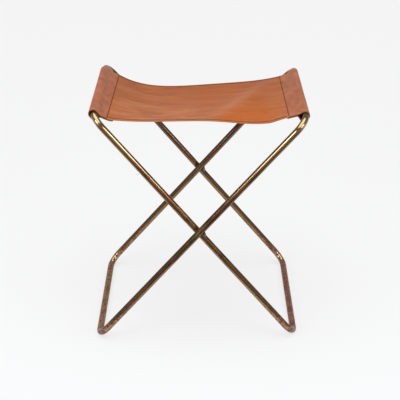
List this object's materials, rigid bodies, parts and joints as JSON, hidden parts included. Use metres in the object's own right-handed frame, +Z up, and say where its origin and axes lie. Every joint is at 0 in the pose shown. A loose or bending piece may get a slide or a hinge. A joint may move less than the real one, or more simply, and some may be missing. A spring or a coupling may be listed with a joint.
{
  "type": "folding stool",
  "caption": "X frame folding stool: two crossing loops of bent brass tube on a riveted pivot, with a leather sling seat stitched round their top bars.",
  "frame": {"origin": "centre of the overall box, at floor level, under the middle of the seat", "axes": "+Z up, +X towards the right top bar as seen from the front, +Y towards the rear, along the bars"},
  "size_m": [0.4004, 0.366, 0.4551],
  "materials": {
    "brass": "polished, with a worn brown patina",
    "dark_steel": "satin, bronzed",
    "leather": "satin, vegetable tanned saddle leather"
  },
  "bodies": {
    "frame_a": {"frame_a_tube": "brass", "frame_a_joiner": "dark_steel", "front_pivot_rivet": "dark_steel", "front_spacer_washer": "dark_steel", "front_stop_lug": "dark_steel", "rear_pivot_rivet": "dark_steel", "rear_spacer_washer": "dark_steel", "rear_stop_lug": "dark_steel"},
    "frame_b": {"frame_b_tube": "brass", "frame_b_joiner": "dark_steel"},
    "sling_left": {"sling_left_half": "leather"},
    "sling_right": {"sling_right_half": "leather"}
  },
  "joints": [
    {"name": "fold", "type": "hinge", "parent": "frame_a", "child": "frame_b", "pos_m": [0, 0, 0.22432], "axis": [0, -1, 0], "range_deg": [0, 77]},
    {"name": "sling_hang", "type": "hinge", "parent": "frame_a", "child": "sling_left", "pos_m": [-0.1915, 0, 0.44635], "axis": [0, 1, 0], "range_deg": [0, 42], "deforming": ["sling_left_half"]},
    {"name": "sling_middle_fold", "type": "hinge", "parent": "sling_left", "child": "sling_right", "pos_m": [0, 0, 0.4255], "axis": [0, -1, 0], "range_deg": [0, 161], "deforming": ["sling_right_half"]}
  ],
  "couplings": [
    {"joint": "sling_hang", "follows": "fold", "ratio": 0.54309},
    {"joint": "sling_middle_fold", "follows": "fold", "ratio": 2.0862}
  ]
}
